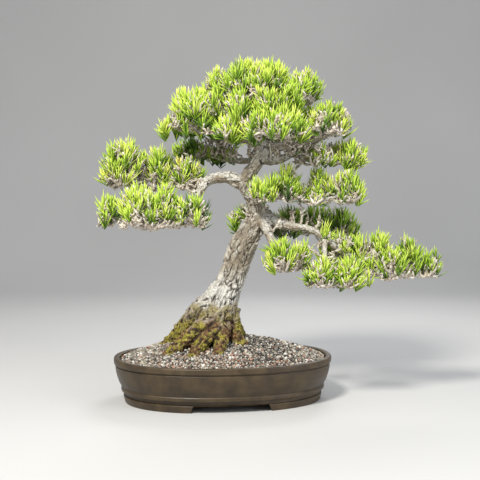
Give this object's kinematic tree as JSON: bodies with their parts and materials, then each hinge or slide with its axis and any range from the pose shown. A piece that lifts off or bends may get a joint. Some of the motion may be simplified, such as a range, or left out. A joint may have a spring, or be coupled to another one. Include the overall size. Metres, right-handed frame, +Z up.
{
  "type": "potted bonsai pine",
  "caption": "Curved-trunk pine bonsai with flared surface roots and layered needle pads, in a shallow oval stoneware pot dressed with gravel.",
  "frame": {"origin": "on the supporting surface, under the middle of the whole object's box, to the millimetre", "axes": "+Z up; X along the pot's long side; the tree's viewing side faces -Y, turned 8 degrees towards -X; the lowest branch reaches out to +X"},
  "size_m": [0.5815, 0.266, 0.5815],
  "materials": {
    "clay": "satin",
    "mesh_plastic": "matte",
    "wire": "satin",
    "soil": "matte",
    "gravel": "matte",
    "bark": "matte",
    "needles": "satin"
  },
  "bodies": {
    "root": {"pot": "clay", "drainage_screen_left": "mesh_plastic", "drainage_screen_right": "mesh_plastic", "screen_clip_left": "wire", "screen_clip_right": "wire", "anchor_wire": "wire", "soil": "soil", "gravel_layer": "gravel", "trunk": "bark", "left_branch": "bark", "right_middle_branch": "bark", "right_back_branch": "bark", "right_low_branch": "bark", "crown_left_branch": "bark", "crown_upper_left_branch": "bark", "crown_lower_right_branch": "bark", "crown_right_branch": "bark", "crown_front_branch": "bark", "crown_upper_front_branch": "bark", "crown_upper_right_branch": "bark", "crown_back_branch": "bark", "back_left_branch": "bark", "back_shoot": "bark", "left_upper_foliage": "needles", "left_lower_foliage": "needles", "right_middle_inner_foliage": "needles", "right_middle_outer_foliage": "needles", "right_back_foliage": "needles", "right_low_inner_foliage": "needles", "right_low_front_foliage": "needles", "right_low_outer_foliage": "needles", "crown_top_foliage": "needles", "crown_upper_left_foliage": "needles", "crown_left_foliage": "needles", "crown_left_front_foliage": "needles", "crown_upper_front_left_foliage": "needles", "crown_upper_front_right_foliage": "needles", "crown_front_foliage": "needles", "crown_upper_right_foliage": "needles", "crown_right_foliage": "needles", "crown_lower_right_foliage": "needles", "crown_back_foliage": "needles", "back_left_foliage": "needles", "back_shoot_foliage": "needles"}
  },
  "joints": []
}
